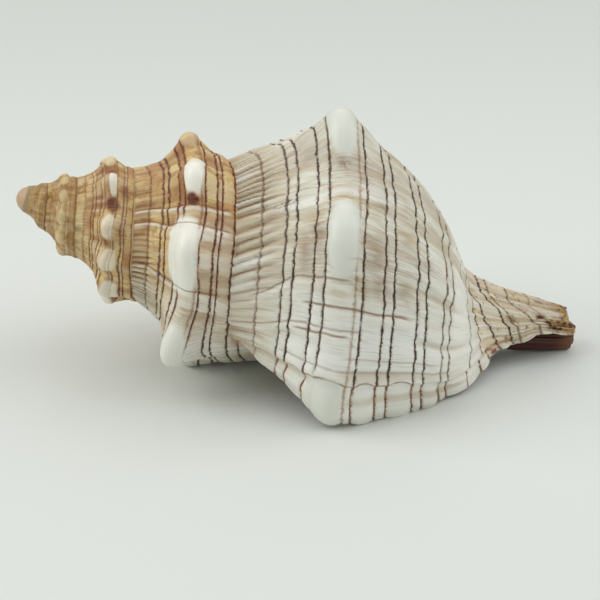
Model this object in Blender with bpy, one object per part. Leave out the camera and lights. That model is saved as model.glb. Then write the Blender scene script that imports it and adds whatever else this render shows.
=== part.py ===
"""Large knobbed sea shell (a right-handed horse conch kind), resting on its aperture side.

One solid. The wall of the shell is a single sheet that coils round the axis from the apex to the
outer lip, so the outside, the lip, the inside of the last turn and the columella are one closed skin.
Turns are counted from the side that faces the front: turn 0 faces the front, the outer lip is the end
of the last turn, and earlier turns are negative. A station runs across one turn of the wall: 0 is the
suture nearer the apex, 1 is the place of the next suture, and 1 to 2 is the base and the canal.
All sizes are in metres and the ground is z = 0.
"""
import math

import bpy
import bmesh
import numpy as np
from mathutils import Vector
from mathutils.geometry import tessellate_polygon

MM = 0.001

# Grid of the wall
COLUMNS_PER_TURN = 46
FIRST_TURN = -4.62
LIP_TURN = 52.0 / 360.0
SIDE_STATIONS = [0.0, 0.11, 0.22, 0.33, 0.43, 0.51, 0.57, 0.62, 0.67, 0.74, 0.86, 1.0]
BASE_STATIONS = [1.06, 1.14, 1.24, 1.34, 1.44, 1.55, 1.62, 1.7, 1.78, 1.86, 1.93, 2.0]

# Suture: distance along the axis and from the axis, in millimetres, at each turn
SUTURE_TURN = [-6.0, -5.0, -4.0, -3.0, -2.0, -1.5, -1.0, -0.5, 0.0, 0.16, 0.5, 0.75, 1.0, 1.16]
SUTURE_ALONG = [0.6, 1.6, 3.6, 7.3, 14.2, 20.2, 27.5, 37.8, 50.2, 54.4, 66.5, 79.8, 91.0, 98.0]
SUTURE_RADIUS = [0.9, 1.75, 3.1, 5.2, 8.6, 11.1, 14.0, 17.7, 21.8, 22.9, 25.4, 28.9, 31.2, 29.6]

# Height of the wall above the straight line between two sutures, as a share of that line's length
BULGE_STATION = [0.0, 0.1, 0.28, 0.45, 0.62, 0.82, 1.0]
BULGE_SPIRE = [0.0, 0.0, 0.03, 0.08, 0.12, 0.07, 0.0]
BULGE_BODY = [0.0, 0.035, 0.105, 0.16, 0.175, 0.12, 0.0]
BODY_STARTS = -1.05
BODY_BLEND = 0.75

# Base, neck and canal: one row for each station, one value for each turn in BASE_TURN
BASE_STATION = [1.2, 1.4, 1.55, 1.7, 1.85, 2.0]
BASE_TURN = [-4.8, -3.2, -2.2, -1.25, -0.95, -0.84, -0.76, -0.5, -0.25, 0.0, 0.16]
BASE_ALONG = [
    [5.2, 15.0, 31.0, 53.0, 62.0, 66.0, 69.0, 79.0, 90.0, 98.8, 104.5],
    [6.4, 19.0, 38.0, 63.0, 74.0, 78.0, 81.0, 89.0, 97.0, 103.5, 110.5],
    [9.0, 26.0, 50.0, 75.0, 86.0, 90.0, 92.0, 97.0, 101.5, 106.5, 113.5],
    [20.0, 45.0, 76.0, 95.0, 102.0, 104.0, 105.0, 108.0, 110.5, 113.0, 117.0],
    [50.0, 75.0, 103.0, 113.0, 117.0, 118.0, 118.5, 120.0, 121.0, 122.0, 123.5],
    [131.0, 131.0, 131.0, 131.0, 131.0, 131.0, 131.0, 131.0, 131.0, 131.0, 131.0]]
BASE_RADIUS = [
    [2.5, 5.5, 9.0, 14.0, 17.0, 17.8, 18.5, 20.5, 21.7, 25.8, 24.3],
    [1.5, 3.0, 5.0, 8.0, 10.0, 11.0, 12.0, 13.4, 14.0, 17.2, 17.3],
    [1.1, 2.2, 3.4, 5.0, 6.0, 6.6, 7.6, 9.2, 9.8, 10.5, 10.4],
    [0.8, 1.6, 2.3, 3.0, 3.0, 3.6, 5.8, 7.0, 7.3, 7.3, 7.0],
    [0.5, 1.1, 1.5, 2.0, 2.0, 2.8, 5.7, 5.9, 5.7, 5.6, 5.4],
    [0.4, 0.6, 0.8, 1.0, 1.0, 1.7, 4.1, 4.2, 4.0, 3.9, 3.8]]

# The canal bends a little off the axis towards its end
BEND_STARTS = 98.0
BEND_LENGTH = 32.0
BEND_POWER = 1.3
BEND_UP = 3.4
BEND_BACK = 2.9

# Knobs: angle in degrees and strength, from the outer lip back to the apex
KNOBS = [
    (45, 0.75), (-14, 1.0), (-63, 1.55), (-112, 0.75), (-160, 0.9), (-208, 1.5), (-254, 0.8),
    (-301, 1.95), (-355, 1.0), (-399, 1.0), (-447, 1.05), (-490, 1.0), (-531, 1.0), (-571, 1.0),
    (-611, 1.0), (-650, 0.85), (-683, 1.0), (-714, 1.0), (-758, 1.0), (-790, 1.0), (-826, 1.0),
    (-861, 1.0), (-896, 1.0), (-930, 1.0), (-964, 1.0), (-998, 1.0), (-1032, 1.0), (-1066, 1.0),
    (-1100, 1.0), (-1134, 1.0), (-1168, 1.0), (-1202, 1.0), (-1236, 1.0)]
KNOB_WIDTH = 0.2
KNOB_STATION = 0.62
KNOB_SPREAD = 0.13
FOLD_SHARE = 0.15
FOLD_SPREAD = 0.3
KNOB_HEIGHT_SPIRE = 0.16
KNOB_HEIGHT_BODY = 0.115
KNOBS_START = -3.6
KNOBS_BLEND = 1.8

# Wall, cavity and lip
CAVITY_TURNS = 1.12
WALL_BODY = 2.6
WALL_CANAL = 1.4
WALL_LIP = 1.7
LIP_THINS = 0.06
ROOT_ROWS = 1
CANAL_OPEN_TURNS = 0.22
CANAL_CLOSES = 0.14
CANAL_FILL = 9.0
SMALLEST_GAP = 0.6
RECESS_STATION = 1.72
RECESS_BLEND = 0.14
RECESS_TURNS = 0.085
RECESS_REACH = 0.2
FOLDS_ON_COLUMELLA = [(1.26, 0.9), (1.36, 1.0), (1.46, 0.8)]
COLUMELLA_FOLD_SPREAD = 0.03
APEX_WIDENS = 0.6
APEX_RINGS = [(0.82, 2.2), (0.56, 0.9), (0.28, 0.3)]
APEX_ALONG = 0.1

# Resting pose
AXIS_SLOPE = math.radians(14.8)
AXIS_BACK = 0.067
VIEW_ELEVATION = math.radians(26.0)
REST_PITCH = math.radians(1.28)
REST_ROLL = math.radians(-0.1)


def smoothstep(x):
    x = np.clip(x, 0.0, 1.0)
    return x * x * (3.0 - 2.0 * x)


def smooth_curve(x, knots, values):
    """Values of a smooth curve through the knots; values may hold one curve or one curve per row."""
    knots = np.asarray(knots, float)
    values = np.atleast_2d(np.asarray(values, float))
    x = np.asarray(x, float)
    step = np.diff(knots)
    rise = np.diff(values, axis=1) / step
    slope = np.empty_like(values)
    slope[:, 0] = rise[:, 0]
    slope[:, -1] = rise[:, -1]
    slope[:, 1:-1] = (rise[:, :-1] * step[1:] + rise[:, 1:] * step[:-1]) / (step[1:] + step[:-1])
    k = np.clip(np.searchsorted(knots, x, side="right") - 1, 0, len(knots) - 2)
    t = (x - knots[k]) / step[k]
    start = 2 * t**3 - 3 * t**2 + 1
    leave = t**3 - 2 * t**2 + t
    arrive = t**3 - t**2
    return (values[:, k] * start + slope[:, k] * step[k] * leave
            + values[:, k + 1] * (1.0 - start) + slope[:, k + 1] * step[k] * arrive)


def knob_pattern(turn):
    """Height of the knob row at each turn, from 0 between knobs to about 1 on a knob."""
    angle = turn * 360.0
    height = np.zeros_like(turn)
    last = len(KNOBS) - 1
    for i, (place, strength) in enumerate(KNOBS):
        before = max(i - 1, 0)
        after = min(i + 1, last)
        spacing = (KNOBS[before][0] - KNOBS[after][0]) / (after - before)
        height += strength * np.exp(-0.5 * ((angle - place) / (KNOB_WIDTH * spacing)) ** 2)
    return height


def wall_profile(turn, stations, with_knobs):
    """Along-axis and from-axis millimetres for every turn and station."""
    a0 = smooth_curve(turn, SUTURE_TURN, SUTURE_ALONG)[0]
    r0 = smooth_curve(turn, SUTURE_TURN, SUTURE_RADIUS)[0]
    a1 = smooth_curve(turn + 1.0, SUTURE_TURN, SUTURE_ALONG)[0]
    r1 = smooth_curve(turn + 1.0, SUTURE_TURN, SUTURE_RADIUS)[0]
    length = np.hypot(a1 - a0, r1 - r0)
    out_a = -(r1 - r0) / length
    out_r = (a1 - a0) / length
    body = smoothstep((turn - BODY_STARTS) / BODY_BLEND)
    along = []
    radius = []
    for q, spire_bulge, body_bulge in zip(BULGE_STATION, BULGE_SPIRE, BULGE_BODY):
        bulge = (spire_bulge * (1.0 - body) + body_bulge * body) * length
        along.append(a0 + (a1 - a0) * q + out_a * bulge)
        radius.append(r0 + (r1 - r0) * q + out_r * bulge)
    for base_along, base_radius in zip(BASE_ALONG, BASE_RADIUS):
        along.append(smooth_curve(turn, BASE_TURN, base_along)[0])
        radius.append(smooth_curve(turn, BASE_TURN, base_radius)[0])
    marks = BULGE_STATION + BASE_STATION
    along = smooth_curve(stations, marks, np.array(along).T)
    radius = smooth_curve(stations, marks, np.array(radius).T)
    if with_knobs:
        share = KNOB_HEIGHT_SPIRE * (1.0 - body) + KNOB_HEIGHT_BODY * body
        height = knob_pattern(turn) * share * length * smoothstep((turn - KNOBS_START) / KNOBS_BLEND)
        offset = np.asarray(stations, float) - KNOB_STATION
        shape = (np.exp(-0.5 * (offset / KNOB_SPREAD) ** 2)
                 + FOLD_SHARE * np.exp(-0.5 * (offset / FOLD_SPREAD) ** 2))
        along = along + (out_a * height)[:, None] * shape
        radius = radius + (out_r * height)[:, None] * shape
    return along, radius


def inner_profile(turn, stations):
    """The inner skin: the plain wall moved inwards by its thickness, and its gap to the columella."""
    along, radius = wall_profile(turn, stations, False)
    core_along, core_radius = wall_profile(turn - 1.0, stations, False)
    s = np.asarray(stations, float)
    da = np.gradient(along, s, axis=1)
    dr = np.gradient(radius, s, axis=1)
    size = np.hypot(da, dr)
    in_a = dr / size
    in_r = -da / size
    to_core_a = core_along - along
    to_core_r = core_radius - radius
    reach = np.hypot(to_core_a, to_core_r)
    lean = smoothstep((s - 1.15) / 0.35)[None]
    way_a = in_a * (1.0 - lean) + to_core_a / reach * lean
    way_r = in_r * (1.0 - lean) + to_core_r / reach * lean
    way = np.hypot(way_a, way_r)
    size_here = smooth_curve(turn, SUTURE_TURN, SUTURE_RADIUS)[0] / SUTURE_RADIUS[8]
    canal = smoothstep((s - 1.35) / 0.35)
    wall = WALL_BODY * (1.0 - canal)[None] * size_here[:, None] + WALL_CANAL * canal[None]
    edge = smoothstep((turn - (LIP_TURN - LIP_THINS)) / LIP_THINS)
    wall = wall * (1.0 - edge[:, None] * (1.0 - WALL_LIP / WALL_BODY) * (1.0 - canal)[None])
    shut = smoothstep((LIP_TURN - CANAL_OPEN_TURNS - turn) / CANAL_CLOSES)
    wall = wall + CANAL_FILL * shut[:, None] * smoothstep((s - 1.45) / 0.25)[None]
    gap = np.where(s > 1.0, reach - wall, reach)
    return along + way_a / way * wall, radius + way_r / way * wall, gap


def columella_folds(turn, stations, along, radius):
    """Three low spiral folds on the columella, inside the aperture only."""
    inside = smoothstep((LIP_TURN - 1.0 - turn) / 0.04)
    height = np.zeros_like(radius)
    for place, strength in FOLDS_ON_COLUMELLA:
        near = np.exp(-0.5 * ((np.asarray(stations) - place) / COLUMELLA_FOLD_SPREAD) ** 2)
        height += strength * inside[:, None] * near[None]
    return along, radius + height


def axis_frame():
    """Axis direction, the direction that faces the viewer and the one below it, in world axes."""
    level = math.sqrt(1.0 - AXIS_BACK**2)
    axis = np.array([math.cos(AXIS_SLOPE) * level, math.sin(AXIS_SLOPE) * level, AXIS_BACK])
    front = -(np.array([0.0, 0.0, 1.0]) - AXIS_BACK * axis)
    front /= np.linalg.norm(front)
    below = np.cross(axis, front)
    sin_e = math.sin(VIEW_ELEVATION)
    cos_e = math.cos(VIEW_ELEVATION)
    to_world = np.array([[1.0, 0.0, 0.0], [0.0, -sin_e, cos_e], [0.0, -cos_e, -sin_e]])
    cos_p, sin_p = math.cos(REST_PITCH), math.sin(REST_PITCH)
    cos_r, sin_r = math.cos(REST_ROLL), math.sin(REST_ROLL)
    pitch = np.array([[cos_p, 0.0, sin_p], [0.0, 1.0, 0.0], [-sin_p, 0.0, cos_p]])
    roll = np.array([[1.0, 0.0, 0.0], [0.0, cos_r, -sin_r], [0.0, sin_r, cos_r]])
    turn_to_rest = pitch @ roll @ to_world
    return turn_to_rest @ axis, turn_to_rest @ front, turn_to_rest @ below


def to_space(turn, along, radius):
    """World points in metres, before the shell is set on the ground."""
    axis, front, below = axis_frame()
    angle = (turn * 2.0 * math.pi)[..., None]
    bend = (np.clip(along - BEND_STARTS, 0.0, None) / BEND_LENGTH)[..., None] ** BEND_POWER
    points = along[..., None] * axis + radius[..., None] * (np.cos(angle) * front + np.sin(angle) * below)
    points = points - bend * BEND_UP * below - bend * BEND_BACK * front
    return points * MM


def surface(turn, stations, kind):
    """Points of the outer or inner skin; the last columns draw back at the canal to bare its inside."""
    stations = np.asarray(stations, float)
    if kind == "inner":
        along, radius, gap = inner_profile(turn, stations)
    else:
        along, radius = wall_profile(turn, stations, True)
        along, radius = columella_folds(turn, stations, along, radius)
        gap = None
    recess = RECESS_TURNS * smoothstep((stations - RECESS_STATION) / RECESS_BLEND)
    near_lip = smoothstep((turn - (LIP_TURN - RECESS_REACH)) / RECESS_REACH)
    turns = turn[:, None] - near_lip[:, None] * recess[None]
    return to_space(turns, along, radius), gap


def build_mesh():
    count = int(round((LIP_TURN - FIRST_TURN) * COLUMNS_PER_TURN))
    per_turn = COLUMNS_PER_TURN
    turn = LIP_TURN - (count - np.arange(count + 1)) / per_turn
    stations = np.array(SIDE_STATIONS + BASE_STATIONS)
    side_end = len(SIDE_STATIONS) - 1
    row_end = len(stations) - 1
    root = side_end + ROOT_ROWS
    outer, _ = surface(turn, stations, "outer")
    inner, gap = surface(turn, stations, "inner")
    for i in range(int(APEX_WIDENS * per_turn)):
        width = float(smoothstep(i / (APEX_WIDENS * per_turn)))
        outer[i] = surface(turn[i:i + 1], 1.0 - (1.0 - stations) * width, "outer")[0][0]
    cavity_start = count - int(round(CAVITY_TURNS * per_turn))

    # Last open row of the cavity at each column; it never shrinks towards the lip
    open_row = np.full(count + 1, row_end)
    for i in range(cavity_start, count + 1):
        closed = [j for j in range(root + 1, row_end + 1) if gap[i, j] < SMALLEST_GAP]
        if closed:
            open_row[i] = closed[0] - 1
    for i in range(count - 1, cavity_start - 1, -1):
        open_row[i] = min(open_row[i], open_row[i + 1])
        if open_row[i] == row_end - 1:
            open_row[i] = row_end - 2

    mesh = bmesh.new()
    verts = {}

    def outer_vert(i, j):
        if i == 0 or (j == side_end and i + per_turn <= count):
            i, j = i + per_turn, 0
        key = ("outer", i, j)
        if key not in verts:
            verts[key] = mesh.verts.new(outer[i, j])
        return verts[key]

    def inner_vert(i, j):
        if j == 0:
            return outer_vert(i - per_turn, root)
        if j > open_row[i]:
            return outer_vert(i - per_turn, j)
        key = ("inner", i, j)
        if key not in verts:
            verts[key] = mesh.verts.new(inner[i, j])
        return verts[key]

    def add_face(corners):
        distinct = []
        for corner in corners:
            if corner not in distinct:
                distinct.append(corner)
        if len(distinct) > 2:
            mesh.faces.new(distinct)

    def add_quad(a, b, c, d, split_ac):
        if split_ac:
            add_face([a, b, c])
            add_face([a, c, d])
        else:
            add_face([a, b, d])
            add_face([b, c, d])

    # Outside of every turn, and the base and canal of the last turn
    for i in range(count):
        last_row = row_end if i >= count - per_turn else side_end
        for j in range(last_row):
            corners = (outer_vert(i, j), outer_vert(i + 1, j), outer_vert(i + 1, j + 1), outer_vert(i, j + 1))
            add_quad(*corners, (i + j) % 2 == 0)

    # Inner skin and the columella that faces it
    for i in range(cavity_start, count):
        for j in range(row_end):
            shut = [i_ for i_, c in ((0, j > open_row[i]), (1, j > open_row[i + 1]),
                                     (2, j + 1 > open_row[i + 1]), (3, j + 1 > open_row[i])) if c]
            if len(shut) == 4:
                continue
            split = (i + j) % 2 == 0
            if len(shut) == 3:
                free = ({0, 1, 2, 3} - set(shut)).pop()
                split = free in (0, 2)
            add_quad(inner_vert(i, j), inner_vert(i, j + 1), inner_vert(i + 1, j + 1), inner_vert(i + 1, j),
                     split)
            if j >= root:
                k = i - per_turn
                add_quad(outer_vert(k, j), outer_vert(k + 1, j), outer_vert(k + 1, j + 1),
                         outer_vert(k, j + 1), split)

    # Rim of the outer lip
    for j in range(1, row_end):
        add_quad(outer_vert(count, j), outer_vert(count, j + 1), inner_vert(count, j + 1),
                 inner_vert(count, j), True)
    first = count - per_turn
    corner = [outer_vert(count, 1), inner_vert(count, 1)]
    corner += [outer_vert(first, j) for j in range(root, side_end - 1, -1)]
    add_polygon(mesh, corner)

    # Back wall of the cavity
    end = open_row[cavity_start]
    ring = [inner_vert(cavity_start, j) for j in range(end + 2)]
    ring += [outer_vert(cavity_start - per_turn, j) for j in range(end, root, -1)]
    add_polygon(mesh, ring)

    # End of the canal
    opened = min(i for i in range(cavity_start, count + 1) if open_row[i] == row_end)
    ring = [outer_vert(i, row_end) for i in range(opened - 1 - per_turn, count + 1)]
    ring += [inner_vert(i, row_end) for i in range(count, opened - 1, -1)]
    add_polygon(mesh, ring)

    # Rounded tip at the apex
    axis = axis_frame()[0]
    ring = [outer_vert(i, 0) for i in range(per_turn, 0, -1)]
    tip = Vector(axis * APEX_ALONG * MM)
    points = [Vector(v.co) for v in ring]
    for share, along in APEX_RINGS:
        step = []
        for point in points:
            out = point - Vector(axis) * point.dot(Vector(axis))
            step.append(mesh.verts.new(out * share + Vector(axis) * along * MM))
        for k in range(len(ring)):
            n = (k + 1) % len(ring)
            add_quad(ring[k], ring[n], step[n], step[k], True)
        ring = step
    top = mesh.verts.new(tip)
    for k in range(len(ring)):
        add_face([ring[k], ring[(k + 1) % len(ring)], top])

    bmesh.ops.recalc_face_normals(mesh, faces=mesh.faces[:])
    if mesh.calc_volume(signed=True) < 0.0:
        bmesh.ops.reverse_faces(mesh, faces=mesh.faces[:])
    low = Vector([min(v.co[k] for v in mesh.verts) for k in range(3)])
    high = Vector([max(v.co[k] for v in mesh.verts) for k in range(3)])
    shift = Vector((-(low.x + high.x) / 2, -(low.y + high.y) / 2, -low.z))
    bmesh.ops.translate(mesh, verts=mesh.verts[:], vec=shift)
    return mesh


def add_polygon(mesh, ring):
    """Fill one flat closed ring of vertices with triangles."""
    for face in tessellate_polygon([[Vector(v.co) for v in ring]]):
        mesh.faces.new([ring[k] for k in face])


def build():
    for thing in list(bpy.data.objects):
        bpy.data.objects.remove(thing, do_unlink=True)
    mesh = build_mesh()
    data = bpy.data.meshes.new("shell")
    mesh.to_mesh(data)
    mesh.free()
    shell = bpy.data.objects.new("shell", data)
    bpy.context.scene.collection.objects.link(shell)
    material = bpy.data.materials.new("shell")
    material.use_nodes = True
    shader = material.node_tree.nodes["Principled BSDF"]
    shader.inputs["Base Color"].default_value = (0.66, 0.56, 0.45, 1.0)
    shader.inputs["Roughness"].default_value = 0.45
    data.materials.append(material)


build()
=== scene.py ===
"""Looks of the knobbed sea shell: its fine relief, colours, floor, light and camera."""
import functools
import math
from types import SimpleNamespace

import bpy
import numpy as np
from mathutils import Matrix, Vector
from mathutils.geometry import tessellate_polygon


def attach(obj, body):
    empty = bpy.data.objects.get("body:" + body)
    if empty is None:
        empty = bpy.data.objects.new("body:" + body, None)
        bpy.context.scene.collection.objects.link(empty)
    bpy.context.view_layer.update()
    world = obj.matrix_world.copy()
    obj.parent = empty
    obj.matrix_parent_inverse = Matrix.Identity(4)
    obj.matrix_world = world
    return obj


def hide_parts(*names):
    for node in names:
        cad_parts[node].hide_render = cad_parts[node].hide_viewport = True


MM = 0.001
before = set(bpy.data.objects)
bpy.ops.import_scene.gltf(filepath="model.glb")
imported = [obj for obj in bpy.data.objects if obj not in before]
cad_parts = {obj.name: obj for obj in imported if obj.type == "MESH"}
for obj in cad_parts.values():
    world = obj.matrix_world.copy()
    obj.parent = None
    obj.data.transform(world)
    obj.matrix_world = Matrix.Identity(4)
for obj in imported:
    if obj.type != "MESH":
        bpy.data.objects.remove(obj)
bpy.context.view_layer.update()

# The wall's grid: all columns are used on the last two turns, every second or fourth on earlier ones
PER_TURN = 360
COLUMNS = 1712
LIP_TURN = 52 / 360
INNER_STEP = 4
ROW_GAP_SIDE = 0.026
ROW_GAP_BASE = 0.027
LINE_HALF_ROW = 0.0085
SMALLEST_ROW_GAP = 0.006
ROOT_STATION = 1.06  # where the inner skin leaves the previous turn's outside

# Suture: distance along the axis and from the axis, in millimetres, at each turn
SUTURE_TURN = [-6, -5, -4, -3, -2, -1.5, -1, -0.5, 0, 0.16, 0.5, 0.75, 1, 1.16]
SUTURE_ALONG = [0.6, 1.6, 3.6, 7.3, 14.2, 20.2, 27.5, 37.8, 50.2, 54.4, 66.5, 79.8, 91, 98]
SUTURE_RADIUS = [0.9, 1.75, 3.1, 5.2, 8.6, 11.1, 14, 17.7, 21.8, 22.9, 25.4, 28.9, 31.2, 29.6]
BULGE_STATION = [0, 0.1, 0.28, 0.45, 0.62, 0.82, 1]
BULGE_SPIRE = [0, 0, 0.03, 0.08, 0.12, 0.07, 0]
BULGE_BODY = [0, 0.035, 0.105, 0.16, 0.175, 0.12, 0]
BODY_STARTS = -1.05
BODY_BLEND = 0.75

# Base, neck and canal: one row for each station, one value for each turn in BASE_TURN
BASE_STATION = [1.2, 1.4, 1.55, 1.7, 1.85, 2]
BASE_TURN = [-4.8, -3.2, -2.2, -1.25, -0.95, -0.84, -0.76, -0.5, -0.25, 0, 0.16]
BASE_ALONG = [
    [5.2, 15, 31, 53, 62, 66, 69, 79, 90, 98.8, 104.5],
    [6.4, 19, 38, 63, 74, 78, 81, 89, 97, 103.5, 110.5],
    [9, 26, 50, 75, 86, 90, 92, 97, 101.5, 106.5, 113.5],
    [20, 45, 76, 95, 102, 104, 105, 108, 110.5, 113, 117],
    [50, 75, 103, 113, 117, 118, 118.5, 120, 121, 122, 123.5],
    [131] * 11]
BASE_RADIUS = [
    [2.5, 5.5, 9, 14, 17, 17.8, 18.5, 20.5, 21.7, 25.8, 24.3],
    [1.5, 3, 5, 8, 10, 11, 12, 13.4, 14, 17.2, 17.3],
    [1.1, 2.2, 3.4, 5, 6, 6.6, 7.6, 9.2, 9.8, 10.5, 10.4],
    [0.8, 1.6, 2.3, 3, 3, 3.6, 5.8, 7, 7.3, 7.3, 7],
    [0.5, 1.1, 1.5, 2, 2, 2.8, 5.7, 5.9, 5.7, 5.6, 5.4],
    [0.4, 0.6, 0.8, 1, 1, 1.7, 4.1, 4.2, 4, 3.9, 3.8]]
BEND_STARTS = 98
BEND_LENGTH = 32
BEND_POWER = 1.3
BEND_UP = 3.4
BEND_BACK = 2.9

# Knobs: angle in degrees and strength, from the outer lip back to the apex
KNOBS = [
    (45, 0.75), (-14, 1), (-63, 1.55), (-112, 0.75), (-160, 0.9), (-208, 1.5), (-254, 0.8),
    (-301, 1.95), (-355, 1), (-399, 1), (-447, 1.05), (-490, 1), (-531, 1), (-571, 1),
    (-611, 1), (-650, 0.85), (-683, 1), (-714, 1), (-758, 1), (-790, 1), (-826, 1),
    (-861, 1)] + [(angle, 1) for angle in range(-896, -1237, -34)]
KNOB_WIDTH = 0.2
KNOB_STATION = 0.62
KNOB_SPREAD = 0.13
FOLD_SHARE = 0.15
FOLD_SPREAD = 0.3
KNOB_HEIGHT_SPIRE = 0.16
KNOB_HEIGHT_BODY = 0.115
KNOBS_START = -3.6
KNOBS_BLEND = 1.8

# Wall, cavity and lip
CAVITY_TURNS = 1.12
WALL_BODY = 2.6
WALL_CANAL = 1.4
WALL_LIP = 1.7
LIP_THINS = 0.06
CANAL_OPEN_TURNS = 0.22
CANAL_CLOSES = 0.14
CANAL_FILL = 9
SMALLEST_GAP = 0.6
RECESS_STATION = 1.72
RECESS_BLEND = 0.14
RECESS_TURNS = 0.085
RECESS_REACH = 0.2
FOLDS_ON_COLUMELLA = [(1.26, 0.9), (1.36, 1), (1.46, 0.8)]
COLUMELLA_FOLD_SPREAD = 0.03
APEX_WIDENS = 0.6
APEX_RINGS = [(0.82, 2.2), (0.56, 0.9), (0.28, 0.3)]
APEX_ALONG = 0.1
AXIS_SLOPE = math.radians(14.8)
AXIS_BACK = 0.067
VIEW_ELEVATION = math.radians(26)
REST_PITCH = math.radians(1.28)
REST_ROLL = math.radians(-0.1)
APEX_PLACE = Vector((-63.730, 6.189, 39.857)) * MM

# Dark spiral lines: station, strength, share of orange
LINES = [
    (0, 0, 0), (0.147, 0.55, 0.1), (0.284, 0.9, 0), (0.341, 1, 0), (0.454, 1, 0),
    (0.52, 0.95, 0), (0.685, 0.45, 0.8), (0.722, 1, 0.1), (0.826, 1, 0.1), (0.874, 1, 0),
    (0.988, 1, 0), (1.04, 1, 0.05), (1.15, 0.85, 0.2), (1.2, 0.9, 0.15), (1.42, 0.9, 0.3),
    (1.53, 1, 0.15), (1.6, 1, 0.1), (1.7, 1, 0), (1.737, 0.65, 0.3), (1.82, 0.75, 0.2),
    (1.9, 0.4, 0.4), (2, 0, 0)]
LINE_STATION = np.array([line[0] for line in LINES])
LINE_STRENGTH = np.array([line[1] for line in LINES])
LINE_ORANGE = np.array([line[2] for line in LINES])


def smoothstep(x):
    x = np.clip(x, 0, 1)
    return x * x * (3 - 2 * x)


def smooth_curve(x, knots, values):
    """Smooth curves through the knots, one for each row of values."""
    knots = np.asarray(knots, float)
    values = np.atleast_2d(np.asarray(values, float))
    step = np.diff(knots)
    rise = np.diff(values, axis=1) / step
    slope = np.empty_like(values)
    slope[:, 0] = rise[:, 0]
    slope[:, -1] = rise[:, -1]
    slope[:, 1:-1] = (rise[:, :-1] * step[1:] + rise[:, 1:] * step[:-1]) / (step[1:] + step[:-1])
    k = np.clip(np.searchsorted(knots, x, side="right") - 1, 0, len(knots) - 2)
    t = (x - knots[k]) / step[k]
    start = 2 * t**3 - 3 * t**2 + 1
    leave = t**3 - 2 * t**2 + t
    arrive = t**3 - t**2
    return (values[:, k] * start + slope[:, k] * step[k] * leave
            + values[:, k + 1] * (1 - start) + slope[:, k + 1] * step[k] * arrive)


def knob_pattern(turn):
    """Height of the knob row at each turn, from 0 between knobs to about 1 on a knob."""
    angle = turn * 360
    height = np.zeros_like(turn)
    last = len(KNOBS) - 1
    for i, (place, strength) in enumerate(KNOBS):
        before = max(i - 1, 0)
        after = min(i + 1, last)
        spacing = (KNOBS[before][0] - KNOBS[after][0]) / (after - before)
        height += strength * np.exp(-0.5 * ((angle - place) / (KNOB_WIDTH * spacing)) ** 2)
    return height


def body_share(turn):
    return smoothstep((turn - BODY_STARTS) / BODY_BLEND)


def wall_profile(turn, stations, with_knobs):
    """Along-axis and from-axis millimetres for every turn and station."""
    a0, r0 = smooth_curve(turn, SUTURE_TURN, [SUTURE_ALONG, SUTURE_RADIUS])
    a1, r1 = smooth_curve(turn + 1, SUTURE_TURN, [SUTURE_ALONG, SUTURE_RADIUS])
    length = np.hypot(a1 - a0, r1 - r0)
    out_a = -(r1 - r0) / length
    out_r = (a1 - a0) / length
    body = body_share(turn)
    along = []
    radius = []
    for q, spire_bulge, body_bulge in zip(BULGE_STATION, BULGE_SPIRE, BULGE_BODY):
        bulge = (spire_bulge * (1 - body) + body_bulge * body) * length
        along.append(a0 + (a1 - a0) * q + out_a * bulge)
        radius.append(r0 + (r1 - r0) * q + out_r * bulge)
    along += list(smooth_curve(turn, BASE_TURN, BASE_ALONG))
    radius += list(smooth_curve(turn, BASE_TURN, BASE_RADIUS))
    marks = BULGE_STATION + BASE_STATION
    along = smooth_curve(stations, marks, np.array(along).T)
    radius = smooth_curve(stations, marks, np.array(radius).T)
    if with_knobs:
        share = KNOB_HEIGHT_SPIRE * (1 - body) + KNOB_HEIGHT_BODY * body
        height = knob_pattern(turn) * share * length * smoothstep((turn - KNOBS_START) / KNOBS_BLEND)
        offset = stations - KNOB_STATION
        shape = (np.exp(-0.5 * (offset / KNOB_SPREAD) ** 2)
                 + FOLD_SHARE * np.exp(-0.5 * (offset / FOLD_SPREAD) ** 2))
        along = along + (out_a * height)[:, None] * shape
        radius = radius + (out_r * height)[:, None] * shape
    return along, radius


def growth_share(turn):
    """Size of the shell at a turn, as a share of its size at turn 0."""
    return smooth_curve(turn, SUTURE_TURN, SUTURE_RADIUS)[0] / SUTURE_RADIUS[8]


def inner_profile(turn, stations):
    """The inner skin: the plain wall moved inwards by its thickness, and its gap to the columella."""
    along, radius = wall_profile(turn, stations, False)
    core_along, core_radius = wall_profile(turn - 1, stations, False)
    da = np.gradient(along, stations, axis=1)
    dr = np.gradient(radius, stations, axis=1)
    size = np.hypot(da, dr)
    in_a = dr / size
    in_r = -da / size
    to_core_a = core_along - along
    to_core_r = core_radius - radius
    reach = np.hypot(to_core_a, to_core_r)
    lean = smoothstep((stations - 1.15) / 0.35)
    way_a = in_a * (1 - lean) + to_core_a / reach * lean
    way_r = in_r * (1 - lean) + to_core_r / reach * lean
    way = np.hypot(way_a, way_r)
    canal = smoothstep((stations - 1.35) / 0.35)
    wall = WALL_BODY * (1 - canal) * growth_share(turn)[:, None] + WALL_CANAL * canal
    edge = smoothstep((turn - (LIP_TURN - LIP_THINS)) / LIP_THINS)
    wall = wall * (1 - edge[:, None] * (1 - WALL_LIP / WALL_BODY) * (1 - canal))
    shut = smoothstep((LIP_TURN - CANAL_OPEN_TURNS - turn) / CANAL_CLOSES)
    wall = wall + CANAL_FILL * shut[:, None] * smoothstep((stations - 1.45) / 0.25)
    gap = np.where(stations > 1, reach - wall, reach)
    return along + way_a / way * wall, radius + way_r / way * wall, gap


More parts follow.
